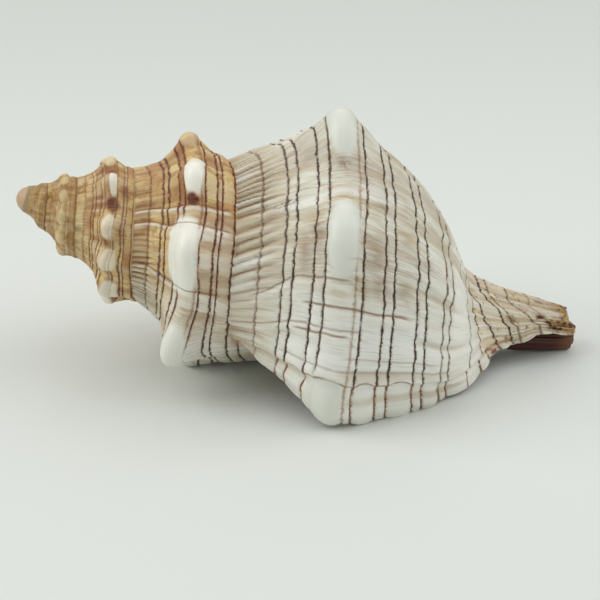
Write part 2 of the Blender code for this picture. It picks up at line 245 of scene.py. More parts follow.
def columella_folds(turn, stations):
    """Millimetres that the three low folds add to the columella, inside the aperture only."""
    inside = smoothstep((LIP_TURN - 1 - turn) / 0.04)
    height = np.zeros((len(turn), len(stations)))
    for place, strength in FOLDS_ON_COLUMELLA:
        near = np.exp(-0.5 * ((stations - place) / COLUMELLA_FOLD_SPREAD) ** 2)
        height += strength * inside[:, None] * near
    return height


def rest_turn():
    """Matrix from the camera's right, down and forward to world axes."""
    sin_e = math.sin(VIEW_ELEVATION)
    cos_e = math.cos(VIEW_ELEVATION)
    to_world = np.array([[1, 0, 0], [0, -sin_e, cos_e], [0, -cos_e, -sin_e]])
    cos_p, sin_p = math.cos(REST_PITCH), math.sin(REST_PITCH)
    cos_r, sin_r = math.cos(REST_ROLL), math.sin(REST_ROLL)
    pitch = np.array([[cos_p, 0, sin_p], [0, 1, 0], [-sin_p, 0, cos_p]])
    roll = np.array([[1, 0, 0], [0, cos_r, -sin_r], [0, sin_r, cos_r]])
    return pitch @ roll @ to_world


def axis_frame():
    """Axis direction, the direction that faces the viewer and the one below it, in world axes."""
    level = math.sqrt(1 - AXIS_BACK**2)
    axis = np.array([math.cos(AXIS_SLOPE) * level, math.sin(AXIS_SLOPE) * level, AXIS_BACK])
    front = -(np.array([0, 0, 1]) - AXIS_BACK * axis)
    front /= np.linalg.norm(front)
    below = np.cross(axis, front)
    turn_to_rest = rest_turn()
    return turn_to_rest @ axis, turn_to_rest @ front, turn_to_rest @ below


def to_space(turn, along, radius):
    """World points in millimetres from the apex."""
    axis, front, below = axis_frame()
    angle = (turn * 2 * math.pi)[..., None]
    bend = (np.clip(along - BEND_STARTS, 0, None) / BEND_LENGTH)[..., None] ** BEND_POWER
    points = along[..., None] * axis + radius[..., None] * (np.cos(angle) * front + np.sin(angle) * below)
    return points - bend * BEND_UP * below - bend * BEND_BACK * front


def surface(turn, stations, kind):
    """Points of the outer or inner skin; the last columns draw back at the canal to bare its inside."""
    if kind == "inner":
        along, radius, gap = inner_profile(turn, stations)
    else:
        along, radius = wall_profile(turn, stations, True)
        radius = radius + columella_folds(turn, stations)
        gap = None
    recess = RECESS_TURNS * smoothstep((stations - RECESS_STATION) / RECESS_BLEND)
    near_lip = smoothstep((turn - (LIP_TURN - RECESS_REACH)) / RECESS_REACH)
    return to_space(turn[:, None] - near_lip[:, None] * recess, along, radius), gap


def row_stations():
    """Rows of the grid: three rows at each spiral line, and even rows between the lines."""
    def fill(low, high, gap, keep):
        marks = {low, high}
        for station, _, _ in LINES:
            for shift in (-LINE_HALF_ROW, 0, LINE_HALF_ROW):
                if low + SMALLEST_ROW_GAP < station + shift < high - SMALLEST_ROW_GAP:
                    marks.add(round(station + shift, 5))
        marks |= set(keep)
        marks = sorted(marks)
        rows = []
        for a, b in zip(marks, marks[1:]):
            parts = max(1, int(math.ceil((b - a) / gap - 0.25)))
            rows += [a + (b - a) * k / parts for k in range(parts)]
        return rows
    side = fill(0, 1, ROW_GAP_SIDE, [])
    base = fill(1, 2, ROW_GAP_BASE, [ROOT_STATION])
    return np.array(side + base + [2]), len(side)


def hash_noise(x, y, seed):
    """Smooth value noise from -1 to 1 on a plane."""
    def corner(i, j):
        v = np.sin(i * 127.1 + j * 311.7 + seed * 74.7) * 43758.5453
        return v - np.floor(v)
    xi, yi = np.floor(x), np.floor(y)
    fx, fy = x - xi, y - yi
    fx = fx * fx * (3 - 2 * fx)
    fy = fy * fy * (3 - 2 * fy)
    low = corner(xi, yi) * (1 - fx) + corner(xi + 1, yi) * fx
    high = corner(xi, yi + 1) * (1 - fx) + corner(xi + 1, yi + 1) * fx
    return (low * (1 - fy) + high * fy) * 2 - 1


def growth_angle(angle, station):
    """Angle of the growth line that runs through a point; growth lines sweep back near the suture."""
    sweep = 12 + 8 * smoothstep((angle + 20) / 50)
    return angle - sweep * np.exp(-station / 0.31) - 6 * smoothstep((station - 0.9) / 0.5)


def line_place(angle, station):
    """Station in which the spiral lines are straight; the lines on the neck bow a little."""
    lower = smoothstep((angle - 5) / 10) * smoothstep((station - 1.5) / 0.12)
    bow = 6e-5 * np.minimum((angle - 5) ** 2, 1600) * (1 - lower) - 0.02 * lower
    return station + bow * smoothstep((station - 1.25) / 0.08)


# White caps of the knobs at the front: angle, half length in degrees, station, half width, height in mm
CAPS = [(43, 10.5, 0.578, 0.095, 0.5), (-14, 12.5, 0.612, 0.08, 0.8), (-61, 13, 0.605, 0.078, 0.6),
        (-301, 14, 0.62, 0.11, 0.4), (-351, 23, 0.56, 0.15, 0.5), (-404, 18, 0.615, 0.095, 0.5),
        (-652, 11, 0.7, 0.11, 0.3), (-687, 9, 0.69, 0.09, 0.3), (-714, 11, 0.66, 0.08, 0.3),
        (-755, 13, 0.67, 0.06, 0.3)]
# Caps of the other knobs: half length as a share of the knobs' spacing, station, half width, height in mm
CAP_ELSEWHERE = (0.24, 0.612, 0.09, 0.5)
CAP_EARLY = (0.3, 0.59, 0.15, 0.4)
EARLY_KNOBS = -860
CAP_APART = 12
CAP_ROUND = 2.6


def all_caps():
    """The caps at the front, and one of the common size on each other knob."""
    caps = list(CAPS)
    for i in range(1, len(KNOBS) - 1):
        place = KNOBS[i][0]
        share, station, wide, high = CAP_EARLY if place < EARLY_KNOBS else CAP_ELSEWHERE
        if min(abs(place - cap[0]) for cap in CAPS) > CAP_APART:
            spacing = (KNOBS[i - 1][0] - KNOBS[i + 1][0]) / 2
            caps.append((place, share * spacing, station, wide, high))
    return caps


def cap_mask(angle, station):
    """Smooth caps on the knobs, 0 to 1, and the height in millimetres that they add."""
    mask = np.zeros(np.broadcast(angle, station).shape)
    height = np.zeros(mask.shape)
    for centre, half, row, wide, high in all_caps():
        x = (angle - centre) / half
        y = (station - row) / wide
        reach = (np.abs(x) ** CAP_ROUND + np.abs(y) ** CAP_ROUND) ** (1 / CAP_ROUND)
        one = smoothstep((1.3 - reach) / 0.6)
        mask = np.maximum(mask, one)
        height = np.maximum(height, one * high)
    return mask, height


def rib_arch(station):
    """0 at the spiral lines and 1 half way between two of them."""
    k = np.clip(np.searchsorted(LINE_STATION, station, side="right") - 1, 0, len(LINES) - 2)
    low, high = LINE_STATION[k], LINE_STATION[k + 1]
    share = (station - low) / (high - low)
    return 4 * share * (1 - share) * np.clip((high - low) / 0.1, 0.3, 1)


# Relief of the outside: where it starts, in turns, and its heights and widths in millimetres
RELIEF_STARTS = -4.4
RELIEF_BLEND = 0.8
GROOVE_DEPTH = 0.17
GROOVE_WIDTH = 0.42
RIB_HEIGHT = 0.13
NEWEST_RIB_HEIGHT = 0.55
WRINKLE_HEIGHT = 0.42
CREASE_HEIGHT = 0.45
RIDGE_HEIGHT = 0.42
STEP_HEIGHT = 0.35
STEP_DROP = 0.6
PIT_DEPTH = 0.7
# Finer growth relief: height, degrees and share of a station in one wave, seed
GROWTH_WAVES = [(0.2, 2.6, 5, 11), (0.22, 14, 2, 13)]
EARLY_WAVES = (0.16, 9, 2, 15)
STEP_GROWN = 34.2
WRINKLE_DEGREES = 4.3


def suture_wrinkles(grown, station, angle):
    """Wrinkles beside the suture: their phase, one for each wrinkle, and their reach from 0 to 1."""
    phase = grown / WRINKLE_DEGREES + 0.9 * hash_noise(grown / 19, station * 2, 3)
    power = 0.8 + 0.35 * hash_noise(grown / 9, station * 4, 5)
    near_lip = smoothstep((angle - 20) / 12)
    old = 0.78 * smoothstep((-330 - angle) / 40) + 0.15 * smoothstep((-690 - angle) / 60)
    near_suture = np.exp(-(np.maximum(station - 0.11, 0) / 0.12) ** 2)
    return phase, near_suture * power * (1 - 0.6 * near_lip) * (1 - old)


def growth_ridges(grown, station):
    """Broad ridges along the growth lines, from -1 to 1."""
    return hash_noise(grown / 5, station * 2.6, 7)


def lip_step(grown, stations):
    """Degrees from the step where growth stopped once; its edge arches between lines and over a knob."""
    over_knob = np.exp(-((stations - 0.58) / 0.09) ** 2)
    arch = 1.7 * rib_arch(stations) * (1 - over_knob) + 2.6 * over_knob
    return grown - STEP_GROWN + arch


# Brown creases along growth lines: place at the suture and beyond it, stations it spans, strength
CREASES = [(5.5, -2.3, 0.12, 0.66, 0.6), (7, 7, 0.42, 0.95, 0.8), (19.5, 14.6, 0, 0.72, 0.55),
           (17.5, 16.8, 0.38, 0.66, 0.75), (26, 25, 0, 0.2, 0.5), (-38, -38, 0.1, 0.5, 0.35),
           (-9, -9, 0.66, 1, 0.3), (24, 24, 0.66, 1.1, 0.3), (29, 28.5, 0.3, 1.2, 0.35),
           (-386, -383.5, 0, 0.95, 0.7), (-375, -371, 0, 0.95, 0.7), (-340, -334, 0.05, 0.9, 0.7)]


def outer_relief(turn, s, metric):
    """Height in millimetres that the fine forms add to the outside, for the columns and rows."""
    angle = turn[:, None] * 360
    grown = growth_angle(angle, s)
    size = np.clip(growth_share(turn), 0.1, 1.2)[:, None]
    cap, cap_high = cap_mask(angle, s)
    free = 1 - 0.85 * cap
    height = np.zeros(grown.shape)
    # grooves at the lines, and a gentle swell between them
    for station, strength, _ in LINES[1:-1]:
        d = (line_place(angle, s) - station) * metric / (GROOVE_WIDTH * size)
        height -= GROOVE_DEPTH * size * (0.4 + 0.6 * strength) * np.exp(-d * d) * free
    newest = smoothstep((grown - STEP_GROWN) / 2)
    swell = RIB_HEIGHT + NEWEST_RIB_HEIGHT * newest * smoothstep((s - 0.5) / 0.15)
    height += rib_arch(s) * size * swell
    phase, reach = suture_wrinkles(grown, s, angle)
    height += WRINKLE_HEIGHT * size * reach * (np.abs(np.sin(math.pi * phase)) * 2 - 1.1)
    for near, beyond, low, high, power in CREASES:
        away = grown - near - (beyond - near) * smoothstep((s - 0.1) / 0.3)
        along = smoothstep((s - low + 0.03) / 0.06) * smoothstep((high + 0.03 - s) / 0.06) * free
        ridge = np.exp(-((away - 2.4) / 1.5) ** 2) - 0.8 * np.exp(-(away / 1.1) ** 2)
        height += CREASE_HEIGHT * power * size * ridge * along
    # growth lines over the whole wall
    height += RIDGE_HEIGHT * size * growth_ridges(grown, s) * free
    for high, degrees, waves, seed in GROWTH_WAVES:
        height += high * size * hash_noise(grown / degrees, s * waves, seed) * free
    high, degrees, waves, seed = EARLY_WAVES
    early = smoothstep((-560 - angle) / 80)
    height += high * hash_noise(grown / degrees, s * waves, seed) * free * early
    # the step where growth stopped once, close to the lip: its edge arches between the lines
    step = lip_step(grown, s)
    height += STEP_HEIGHT * np.exp(-(np.maximum(-step, 0) / 3) ** 2) * (step < 0.6)
    height -= STEP_DROP * smoothstep((step + 0.5) / 1.2) * np.exp(-np.maximum(step, 0) / 8)
    height += cap_high
    height -= PIT_DEPTH * patches(angle, s, SPOTS) * (s > 1.8)
    return height


def worn_tip(turn, stations):
    """Millimetres by which the canal's broken end is drawn back along the axis."""
    angle = turn[:, None] * 2 * math.pi
    ragged = 0.6 * hash_noise(turn[:, None] * 17, stations * 3, 21)
    ragged += 0.25 * hash_noise(turn[:, None] * 41, stations * 9, 23)
    drawn = 1.75 * (1 - np.sin(angle)) + ragged
    return np.maximum(drawn, -0.3) * smoothstep((stations - 1.78) / 0.22)


def make_grid():
    """Points of both skins for every column and row, with the fine relief on the outside."""
    turn = LIP_TURN - (COLUMNS - np.arange(COLUMNS + 1)) / PER_TURN
    stations, side_end = row_stations()
    root = int(np.argmin(np.abs(stations - ROOT_STATION)))
    outer, _ = surface(turn, stations, "outer")
    inner, gap = surface(turn, stations, "inner")
    widen = int(APEX_WIDENS * PER_TURN)
    for i in range(widen):
        width = float(smoothstep(i / widen))
        outer[i] = surface(turn[i:i + 1], 1 - (1 - stations) * width, "outer")[0][0]
    metric = np.linalg.norm(np.gradient(outer, axis=1), axis=2) / np.gradient(stations)
    normal = np.cross(np.gradient(outer, axis=0), np.gradient(outer, axis=1))
    normal /= np.maximum(np.linalg.norm(normal, axis=2, keepdims=True), 1e-9)
    axis = axis_frame()[0]
    away = outer - (outer @ axis)[..., None] * axis
    side = np.sign((normal * away).sum(2).mean())
    outside = smoothstep((turn[:, None] - (LIP_TURN - 1.03)) / 0.03)
    outside = np.where(stations <= 1, 1, outside)
    past_apex = smoothstep((turn - RELIEF_STARTS) / RELIEF_BLEND)[:, None]
    relief = outer_relief(turn, stations, metric) * outside * past_apex
    outer = outer + side * normal * relief[..., None]
    last_turn = smoothstep((turn + 1) / 0.02)
    drawn = worn_tip(turn, stations) * last_turn[:, None]
    outer = outer - drawn[..., None] * axis
    inner = inner - drawn[..., None] * axis
    return turn, stations, side_end, root, outer, inner, gap, metric


FLOOR_GAP = 0.00002
FAR_FROM_LINE = 3
NO_STEP = -9
APEX_ANGLE = -1700


def column_step(i):
    """Every fourth column is used at the apex, every second on the third last turn, all on the last two."""
    if i >= COLUMNS - 2 * PER_TURN:
        return 1
    return 2 if i >= COLUMNS - 3 * PER_TURN else 4


class Skin:
    """The shell's mesh; its corners count the outside's grid, then the inside's, then the tip's points."""

    def __init__(self):
        grid = make_grid()
        self.turn, self.stations, self.side_end, self.root, outer, inner, self.gap, self.metric = grid
        self.rows = len(self.stations)
        self.row_end = self.rows - 1
        self.last_turn = COLUMNS - PER_TURN
        self.cavity = COLUMNS - INNER_STEP * int(round(CAVITY_TURNS * PER_TURN / INNER_STEP))
        self.points = np.concatenate([outer.reshape(-1, 3), inner.reshape(-1, 3)])
        self.tip_points = []
        self.open_row = self.find_open_rows()
        self.weld = self.weld_corners()
        self.faces = []
        self.on_wall = []

    def outer(self, i, j=0):
        return i * self.rows + j

    def inner(self, i, j=0):
        return (COLUMNS + 1 + i) * self.rows + j

    def find_open_rows(self):
        """The last row of each column where the inner skin stays clear of the columella."""
        open_row = np.full(COLUMNS + 1, self.row_end)
        for i in range(self.cavity, COLUMNS + 1):
            closed = np.nonzero(self.gap[i, self.root + 1:] < SMALLEST_GAP)[0]
            if len(closed):
                open_row[i] = self.root + closed[0]
        for i in range(COLUMNS - 1, self.cavity - 1, -1):
            open_row[i] = min(open_row[i], open_row[i + 1])
            if open_row[i] == self.row_end - 1:
                open_row[i] = self.row_end - 2
        return open_row

    def weld_corners(self):
        """The corner that each corner of the grids is welded to, which is itself for most."""
        weld = np.arange(len(self.points))
        for i in range(self.last_turn + 1):
            weld[self.outer(i, self.side_end)] = self.outer(i + PER_TURN)
        for j in range(self.rows):
            weld[self.outer(0, j)] = self.outer(PER_TURN)
        for i in range(self.cavity, COLUMNS + 1):
            weld[self.inner(i)] = self.outer(i - PER_TURN, self.root)
            for j in range(self.open_row[i] + 1, self.rows):
                weld[self.inner(i, j)] = self.outer(i - PER_TURN, j)
        return weld

    def add(self, corners, on_wall=False):
        """A face of the corners that stay apart after welding."""
        distinct = []
        used = set()
        for corner in corners:
            target = self.weld[corner] if corner < len(self.weld) else corner
            if target not in used:
                used.add(target)
                distinct.append(corner)
        if len(distinct) > 2:
            self.faces.append(distinct)
            self.on_wall.append(on_wall)

    def add_polygon(self, ring):
        where = [Vector(self.points[self.weld[corner]]) for corner in ring]
        for face in tessellate_polygon([where]):
            self.add([ring[k] for k in face])

    def add_outside(self):
        i = 0
        while i < COLUMNS:
            step = column_step(i)
            earlier = i < self.last_turn
            for j in range(self.side_end if earlier else self.row_end):
                a = self.outer(i, j)
                b = self.outer(i + step, j)
                between = []
                if earlier and j == self.side_end - 1:
                    finer = column_step(i + PER_TURN)
                    for k in range(finer, step, finer)[::-1]:
                        between.append(self.outer(i + k + PER_TURN))
                self.add([a, b, b + 1] + between + [a + 1], True)
            i += step

    def add_inside(self):
        """The inner skin and the columella that faces it."""
        for i in range(self.cavity, COLUMNS, INNER_STEP):
            n = i + INNER_STEP
            for j in range(min(max(self.open_row[i], self.open_row[n]) + 1, self.row_end)):
                a = self.inner(i, j)
                b = self.inner(n, j)
                self.add([a, a + 1, b + 1, b], True)
                if j >= self.root:
                    a = self.outer(i - PER_TURN, j)
                    b = self.outer(n - PER_TURN, j)
                    self.add([a, b, b + 1, a + 1], True)

    def add_rims(self):
        """The outer lip's rim, the corner at its suture, the cavity's far end and the canal's end."""
        a = self.outer(COLUMNS)
        b = self.inner(COLUMNS)
        for j in range(1, self.row_end):
            self.add([a + j, a + j + 1, b + j + 1, b + j])
        suture = [self.outer(self.last_turn, j) for j in range(self.root, self.side_end - 1, -1)]
        self.add_polygon([a + 1, b + 1] + suture)
        end = self.open_row[self.cavity]
        ring = [self.inner(self.cavity, j) for j in range(end + 2)]
        ring += [self.outer(self.cavity - PER_TURN, j) for j in range(end, self.root, -1)]
        self.add_polygon(ring)
        inner_columns = range(self.cavity, COLUMNS + 1, INNER_STEP)
        opened = min(i for i in inner_columns if self.open_row[i] == self.row_end)
        ring = []
        i = opened - INNER_STEP - PER_TURN
        while i <= COLUMNS:
            ring.append(self.outer(i, self.row_end))
            i += INNER_STEP if i < self.last_turn else 1
        ring += [self.inner(i, self.row_end) for i in range(COLUMNS, opened - 1, -INNER_STEP)]
        self.add_polygon(ring)

    def add_tip(self):
        """The rounded tip at the apex."""
        axis = axis_frame()[0]
        ring = [self.outer(i) for i in range(PER_TURN, 0, -column_step(0))]
        base = [self.points[corner] for corner in ring]
        first = len(self.points)
        for share, along in APEX_RINGS:
            inner_ring = []
            for point in base:
                inner_ring.append(first + len(self.tip_points))
                self.tip_points.append((point - point.dot(axis) * axis) * share + axis * along)
            for k, corner in enumerate(ring):
                n = (k + 1) % len(ring)
                self.add([corner, ring[n], inner_ring[n], inner_ring[k]])
            ring = inner_ring
        top = first + len(self.tip_points)
        self.tip_points.append(axis * APEX_ALONG)
        for k, corner in enumerate(ring):
            self.add([corner, ring[(k + 1) % len(ring)], top])

    def make_mesh(self):
        self.corners = np.concatenate([np.array(face) for face in self.faces])
        self.sizes = np.array([len(face) for face in self.faces])
        points = np.concatenate([self.points, np.array(self.tip_points)])
        target = np.concatenate([self.weld, np.arange(len(self.points), len(points))])
        kept, vertex = np.unique(target[self.corners], return_inverse=True)
        place = points[kept] * MM + np.array(APEX_PLACE)
        place[:, 2] = np.maximum(place[:, 2], FLOOR_GAP)
        data = bpy.data.meshes.new("shell_skin")
        data.vertices.add(len(kept))
        data.vertices.foreach_set("co", place.astype(np.float32).ravel())
        data.loops.add(len(self.corners))
        data.loops.foreach_set("vertex_index", vertex.astype(np.int32))
        starts = np.concatenate([[0], np.cumsum(self.sizes)[:-1]])
        data.polygons.add(len(self.faces))
        data.polygons.foreach_set("loop_start", starts.astype(np.int32))
        data.update(calc_edges=True)
        data.validate()
        self.data = data

    def on_corners(self, outer, inner, tip):
        """Values at the faces' corners, from those of both grids and one for the tip."""
        shape = outer.shape[2:]
        tip = np.broadcast_to(np.array(tip, float), (len(self.tip_points), *shape))
        return np.concatenate([outer.reshape(-1, *shape), inner.reshape(-1, *shape), tip])[self.corners]

    def store(self, name, values, domain="CORNER"):
        kind, key = ("FLOAT_VECTOR", "vector") if values.ndim == 2 else ("FLOAT", "value")
        layer = self.data.attributes.new(name, kind, domain)
        layer.data.foreach_set(key, values.astype(np.float32).ravel())

    def store_places(self):
        """Place on the wall, caps, patches, inside, wrinkles, growth step and ridges, for the material."""
        s = np.broadcast_to(self.stations, (COLUMNS + 1, self.rows))
        angle = np.broadcast_to(self.turn[:, None] * 360, s.shape)
        grown = growth_angle(angle, s)
        canal = smoothstep((s - 1.5) / 0.25)
        start = LIP_TURN - 1 + 0.17 * canal
        seen_past_lip = smoothstep((self.turn[:, None] - start) / (0.03 + 0.03 * canal))
        inside = np.where(s > 1, 1 - seen_past_lip, 0)
        phase, reach = suture_wrinkles(grown, s, angle)
        wall = np.stack([grown, s, angle], -1)
        spots = np.stack([cap_mask(angle, s)[0], patches(angle, s, SPOTS), stains(angle, s)], -1)
        zone = np.stack([inside, reach, phase], -1)
        zone_in = np.stack([np.ones(s.shape), reach * 0, phase], -1)
        step = np.where(angle < 10, NO_STEP, lip_step(grown, self.stations))
        ridge = growth_ridges(grown, s)
        self.store("wall", self.on_corners(wall, wall, (APEX_ANGLE, 0.5, APEX_ANGLE)))
        self.store("spots", self.on_corners(spots, spots * 0, (0, 0, 0)))
        self.store("zone", self.on_corners(zone, zone_in, (0, 0, 0)))
        self.store("step", self.on_corners(step, np.full(s.shape, NO_STEP), NO_STEP))
        self.store("ridge", self.on_corners(ridge, ridge, 0))
        self.store_lines(line_place(angle, s))

    def store_lines(self, straight):
        """Millimetres from each face's nearest spiral line, the line's strength, orange and number."""
        straight = self.on_corners(straight, straight, 0)
        scale = self.on_corners(self.metric, self.metric, 1)
        face_of = np.repeat(np.arange(len(self.faces)), self.sizes)
        middle = np.bincount(face_of, straight) / self.sizes
        nearest = np.abs(middle[:, None] - LINE_STATION).argmin(1)
        lined = np.array(self.on_wall) & (LINE_STRENGTH[nearest] > 0)
        away = (straight - LINE_STATION[nearest][face_of]) * scale
        distance = np.where(lined[face_of], away, FAR_FROM_LINE)
        strength, orange = LINE_STRENGTH[nearest][face_of], LINE_ORANGE[nearest][face_of]
        self.store("line", np.stack([distance, strength, orange], -1))
        self.store("rib", np.searchsorted(LINE_STATION, middle).astype(float), "FACE")


def build_shell():
    skin = Skin()
    skin.add_outside()
    skin.add_inside()
    skin.add_rims()
    skin.add_tip()
    skin.make_mesh()
    skin.store_places()
    skin.data.shade_smooth()
    shell = bpy.data.objects.new("shell_skin", skin.data)
    bpy.context.scene.collection.objects.link(shell)
    return shell


# Dark maroon spots in the hollows between knobs: angle, station, half length, half width, strength
SPOTS = [(-45, 0.6, 2, 0.035, 0.45), (-384, 0.6, 2.6, 0.05, 1.9), (-735, 0.65, 5.5, 0.08, 1.8),
         (-231, 0.6, 3, 0.05, 0.6), (-276, 0.6, 3, 0.05, 0.6),
         (-700, 0.62, 4, 0.07, 0.6), (-774, 0.62, 5, 0.08, 0.5),
         (-27, 0.27, 1.7, 0.03, 0.9), (-25.6, 0.235, 1.4, 0.024, 0.8), (-28.2, 0.31, 1.4, 0.024, 0.8),
         (-27, 0.15, 1.2, 0.01, 0.7), (0, 1.74, 5, 0.012, 0.7),
         (-58.5, 1.86, 7, 0.025, 1), (-15, 1.86, 7, 0.022, 1), (12, 1.95, 8, 0.03, 0.7)]
SPOTS += [(angle, 0.6, 3, 0.05, 0.7) for angle in (-90, -136, -184)]
SPOTS += [(angle, 0.55, 4, 0.06, 0.8) for angle in (-468, -510, -551, -591, -630)]

# Tan and ochre patches of the body turn, in the same form
STAINS = [(-10.5, 0.775, 6, 0.045, 0.85), (-1.5, 0.925, 4, 0.035, 0.8), (-7.5, 0.4, 8, 0.035, 0.8),
          (6, 0.6, 3.5, 0.055, 0.75), (-20, 0.24, 9, 0.06, 0.4), (1, 0.22, 6, 0.05, 0.4),
          (-16, 0.47, 8, 0.05, 0.95), (3, 0.72, 6, 0.05, 0.7), (0, 0.8, 5, 0.05, 0.8),
          (-40, 0.72, 5, 0.04, 0.6), (-52, 0.42, 7, 0.05, 0.5), (-22, 0.93, 5, 0.05, 0.5),
          (-714, 0.85, 14, 0.09, 1), (-752, 0.85, 12, 0.09, 1), (-775, 0.5, 14, 0.13, 0.9),
          (-738, 0.45, 11, 0.12, 0.9), (-700, 0.42, 12, 0.1, 0.5), (-425, 0.75, 10, 0.1, 0.6),
          (-395, 0.5, 9, 0.08, 0.6), (-372, 0.4, 6, 0.05, 0.5), (-360, 0.44, 9, 0.05, 0.7),
          (-62, 0.9, 9, 0.05, 0.5), (-72, 0.4, 10, 0.06, 0.5), (-14, 1.04, 4, 0.04, 0.5),
          (-120, 0.45, 9, 0.05, 0.6), (-150, 0.78, 7, 0.05, 0.7), (-95, 0.78, 8, 0.05, 0.7),
          (-178, 0.4, 9, 0.05, 0.7), (-215, 0.8, 8, 0.06, 0.6), (-245, 0.45, 9, 0.06, 0.7)]


def patches(angle, s, table):
    """Soft round patches of a table, as the strongest at each place."""
    out = np.zeros(np.broadcast(angle, s).shape)
    for place, station, half, wide, power in table:
        one = power * np.exp(-((angle - place) / half) ** 2 - ((s - station) / wide) ** 2)
        out = np.maximum(out, one)
    return out


# Ochre stripes along the growth lines: angle, first and last station
STRIPES = [(-28.8, 0.45, 0.87), (-34.3, 0.45, 0.87), (-379.5, 0.5, 0.95), (-369, 0.42, 0.9)]


def stains(angle, s):
    """The tan and ochre patches, and the stripes above the middle knobs."""
    out = patches(angle, s, STAINS)
    for place, low, high in STRIPES:
        middle = place - 8 * (s - 0.6)
        along = smoothstep((s - low) / 0.05) * smoothstep((high - s) / 0.06)
        out = np.maximum(out, 0.9 * along * np.exp(-((angle - middle) / 1.4) ** 2))
    return out


class Nodes:
    """Short names for making a node material."""

    def __init__(self, name):
        self.material = bpy.data.materials.new(name)
        self.material.use_nodes = True
        self.tree = self.material.node_tree
        self.shader = self.tree.nodes["Principled BSDF"]

    def node(self, kind, *values, **named):
        """A new node with its first inputs, and those named, filled."""
        node = self.tree.nodes.new("ShaderNode" + kind)
        for value, socket in zip(values, node.inputs):
            self.link(value, socket)
        for name, value in named.items():
            self.link(value, node.inputs[name])
        return node

    def link(self, value, socket):
        if isinstance(value, bpy.types.NodeSocket):
            self.tree.links.new(value, socket)
        elif isinstance(value, tuple) and socket.type == "RGBA":
            socket.default_value = (*value, 1)
        else:
            socket.default_value = value

    def finish(self, **inputs):
        for name, value in inputs.items():
            self.link(value, self.shader.inputs[name.replace("_", " ")])
        return self.material

    def math(self, operation, *values):
        node = self.node("Math", *values)
        node.operation = operation
        return node.outputs[0]

    def times(self, *values):
        return functools.reduce(lambda a, b: self.math("MULTIPLY", a, b), values)

    def plus(self, *values):
        return functools.reduce(lambda a, b: self.math("ADD", a, b), values)

    def minus(self, a, b):
        return self.math("SUBTRACT", a, b)

    def but(self, value):
        return self.minus(1, value)

    def most(self, a, b):
        return self.math("MAXIMUM", a, b)

    def size(self, value):
        return self.math("ABSOLUTE", value)

    def value(self, name, output="Fac"):
        """A number stored on the mesh."""
        node = self.node("Attribute")
        node.attribute_name = name
        return node.outputs[output]

    def values(self, name):
        """The three numbers of a vector stored on the mesh."""
        return self.node("SeparateXYZ", self.value(name, "Vector")).outputs

    def place(self):
        return self.node("TexCoord").outputs["Object"]

    def vector(self, x, y, z):
        return self.node("CombineXYZ", x, y, z).outputs[0]

    def noise(self, vector, scale, detail=2, rough=0.5):
        return self.node("TexNoise", vector, Scale=scale, Detail=detail, Roughness=rough).outputs["Fac"]

    def ramp(self, value, low, high, to_low=0, to_high=1):
        node = self.node("MapRange", value, low, high, to_low, to_high)
        node.interpolation_type = "SMOOTHSTEP"
        return node.outputs[0]

    def mix(self, share, a, b):
        node = self.node("Mix", share)
        node.data_type = "RGBA"
        self.link(a, node.inputs[6])
        self.link(b, node.inputs[7])
        return node.outputs[2]


def srgb(*tone):
    """Linear values of a colour from its values from 0 to 255."""
    shares = [v / 255 for v in tone]
    return tuple(v / 12.92 if v <= 0.04045 else ((v + 0.055) / 1.055) ** 2.4 for v in shares)


# Colours, as red, green and blue from 0 to 255
PALETTE = dict(
    cream=(238, 239, 224), beige=(218, 211, 190), warm=(205, 184, 150), greyish=(204, 192, 178),
    tan_edge=(202, 184, 150), snow=(248, 248, 241), new_cream=(236, 234, 218), straw=(238, 208, 142),
    honey=(208, 168, 100), sand=(224, 204, 168), brown=(160, 102, 60), pale_sand=(226, 204, 160),
    rust=(172, 110, 66), butter=(240, 216, 160), mustard=(212, 178, 104), dark_mustard=(168, 126, 64),
    seam=(126, 84, 48), pink_sand=(226, 206, 176), pink_tan=(206, 176, 144), horn=(248, 238, 212),
    deep_horn=(232, 210, 172), horn_thread=(176, 142, 98), horn_pink=(216, 184, 160),
    horn_fleck=(150, 104, 52), horn_end=(184, 142, 84), valley=(150, 106, 62), crest=(232, 226, 208),
    ochre_stain=(190, 162, 112), grey_stain=(158, 132, 106), spire_stain=(140, 80, 44),
    white_band=(253, 251, 240), groove=(168, 148, 118), spire_groove=(140, 92, 54),
    low_ground=(192, 170, 138), spire_low=(158, 104, 62), high_ground=(248, 247, 238),
    spire_high=(234, 212, 172), cap=(232, 233, 221), spire_cap=(250, 246, 226), bright_cap=(253, 251, 238),
    tan_cap=(232, 212, 166), cream_cap=(248, 243, 226), apex=(198, 170, 144), crust=(216, 176, 118),
    cell=(78, 40, 20), spot_ring=(176, 96, 44), maroon=(98, 32, 8), speck=(70, 56, 40),
    thread=(166, 126, 84), crease_crest=(244, 241, 228), crease=(142, 92, 54), growth_step=(142, 96, 58),
    halo=(180, 132, 84), ink=(60, 40, 32), orange_ink=(150, 92, 44), spire_ink=(112, 52, 36),
    lip=(220, 182, 146), deep_lip=(194, 136, 100), lip_ridge=(140, 72, 48), canal=(78, 34, 22),
    canal_end=(150, 98, 58))
hue = SimpleNamespace(**{name: srgb(*tone) for name, tone in PALETTE.items()})
CELLS_PER_METRE = 700
BUMP_STRENGTH = 0.8
BUMP_DISTANCE = 0.00045


